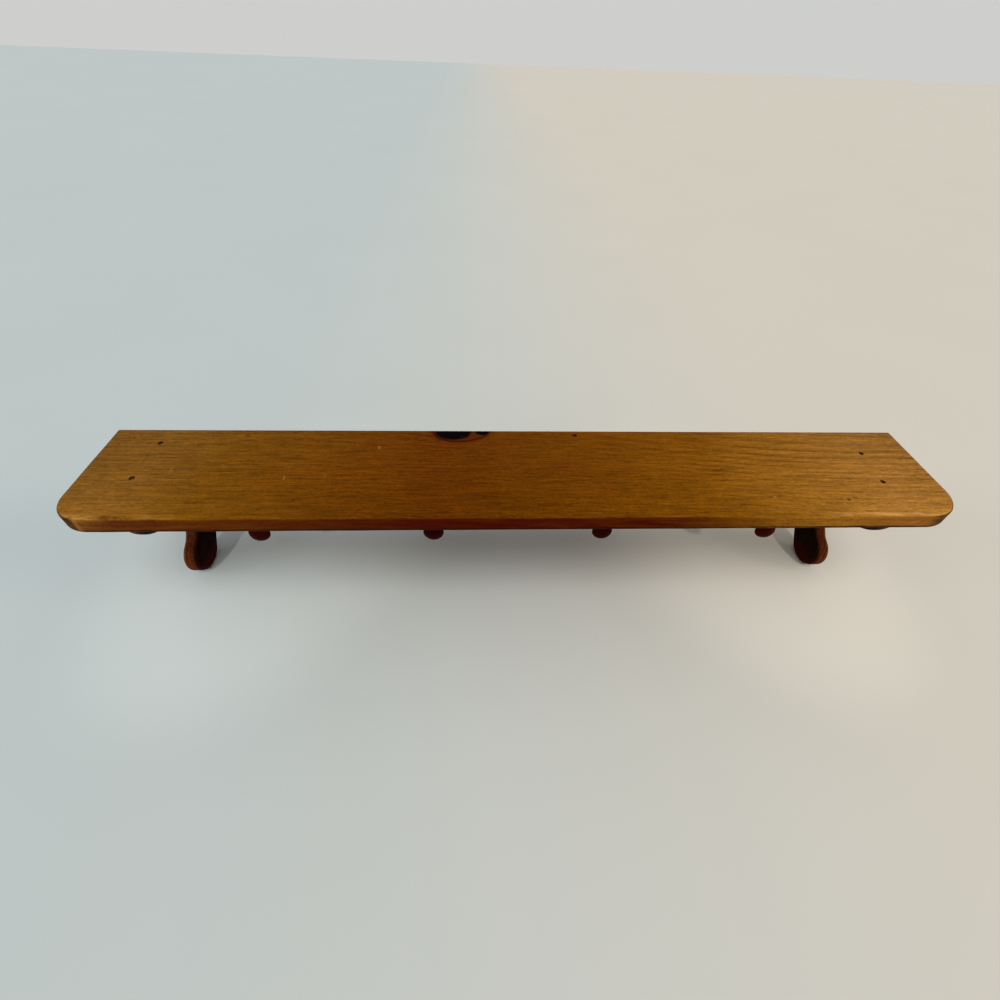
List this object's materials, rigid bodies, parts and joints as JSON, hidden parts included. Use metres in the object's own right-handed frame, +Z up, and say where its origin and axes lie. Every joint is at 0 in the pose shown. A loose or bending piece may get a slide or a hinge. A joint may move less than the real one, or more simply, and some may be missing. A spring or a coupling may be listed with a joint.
{
  "type": "shaker peg rail with shelf",
  "caption": "Wall shelf in stained pine on two scroll-sawn brackets, with a rail of turned hanging pegs under the board.",
  "frame": {"origin": "midway between the two wall-screw holes, on the wall plane", "axes": "+X along the rail to the right as seen from the room, +Y into the wall, +Z up"},
  "size_m": [0.9144, 0.1397, 0.1651],
  "materials": {
    "shelf_pine": "walnut-stained pine board under satin varnish, fine straight grain, one dark knot",
    "rail_pine": "walnut-stained pine under satin varnish, straight grain",
    "bracket_pine": "dark red-brown stained pine under satin varnish, end grain on the scrolls",
    "turned_peg": "dark red-brown stained turned hardwood under satin varnish",
    "nail_steel": "darkened finishing nail, sunk under the surface"
  },
  "bodies": {
    "root": {"shelf_board": "shelf_pine", "peg_rail": "rail_pine", "bracket_left": "bracket_pine", "bracket_right": "bracket_pine", "peg_1": "turned_peg", "peg_2": "turned_peg", "peg_3": "turned_peg", "peg_4": "turned_peg", "shelf_nail_left_rear": "nail_steel", "shelf_nail_left_front": "nail_steel", "shelf_nail_right_rear": "nail_steel", "shelf_nail_right_front": "nail_steel", "rail_nail_left": "nail_steel", "rail_nail_right": "nail_steel", "bracket_nail_left_upper": "nail_steel", "bracket_nail_left_lower": "nail_steel", "bracket_nail_right_upper": "nail_steel", "bracket_nail_right_lower": "nail_steel"}
  },
  "joints": []
}
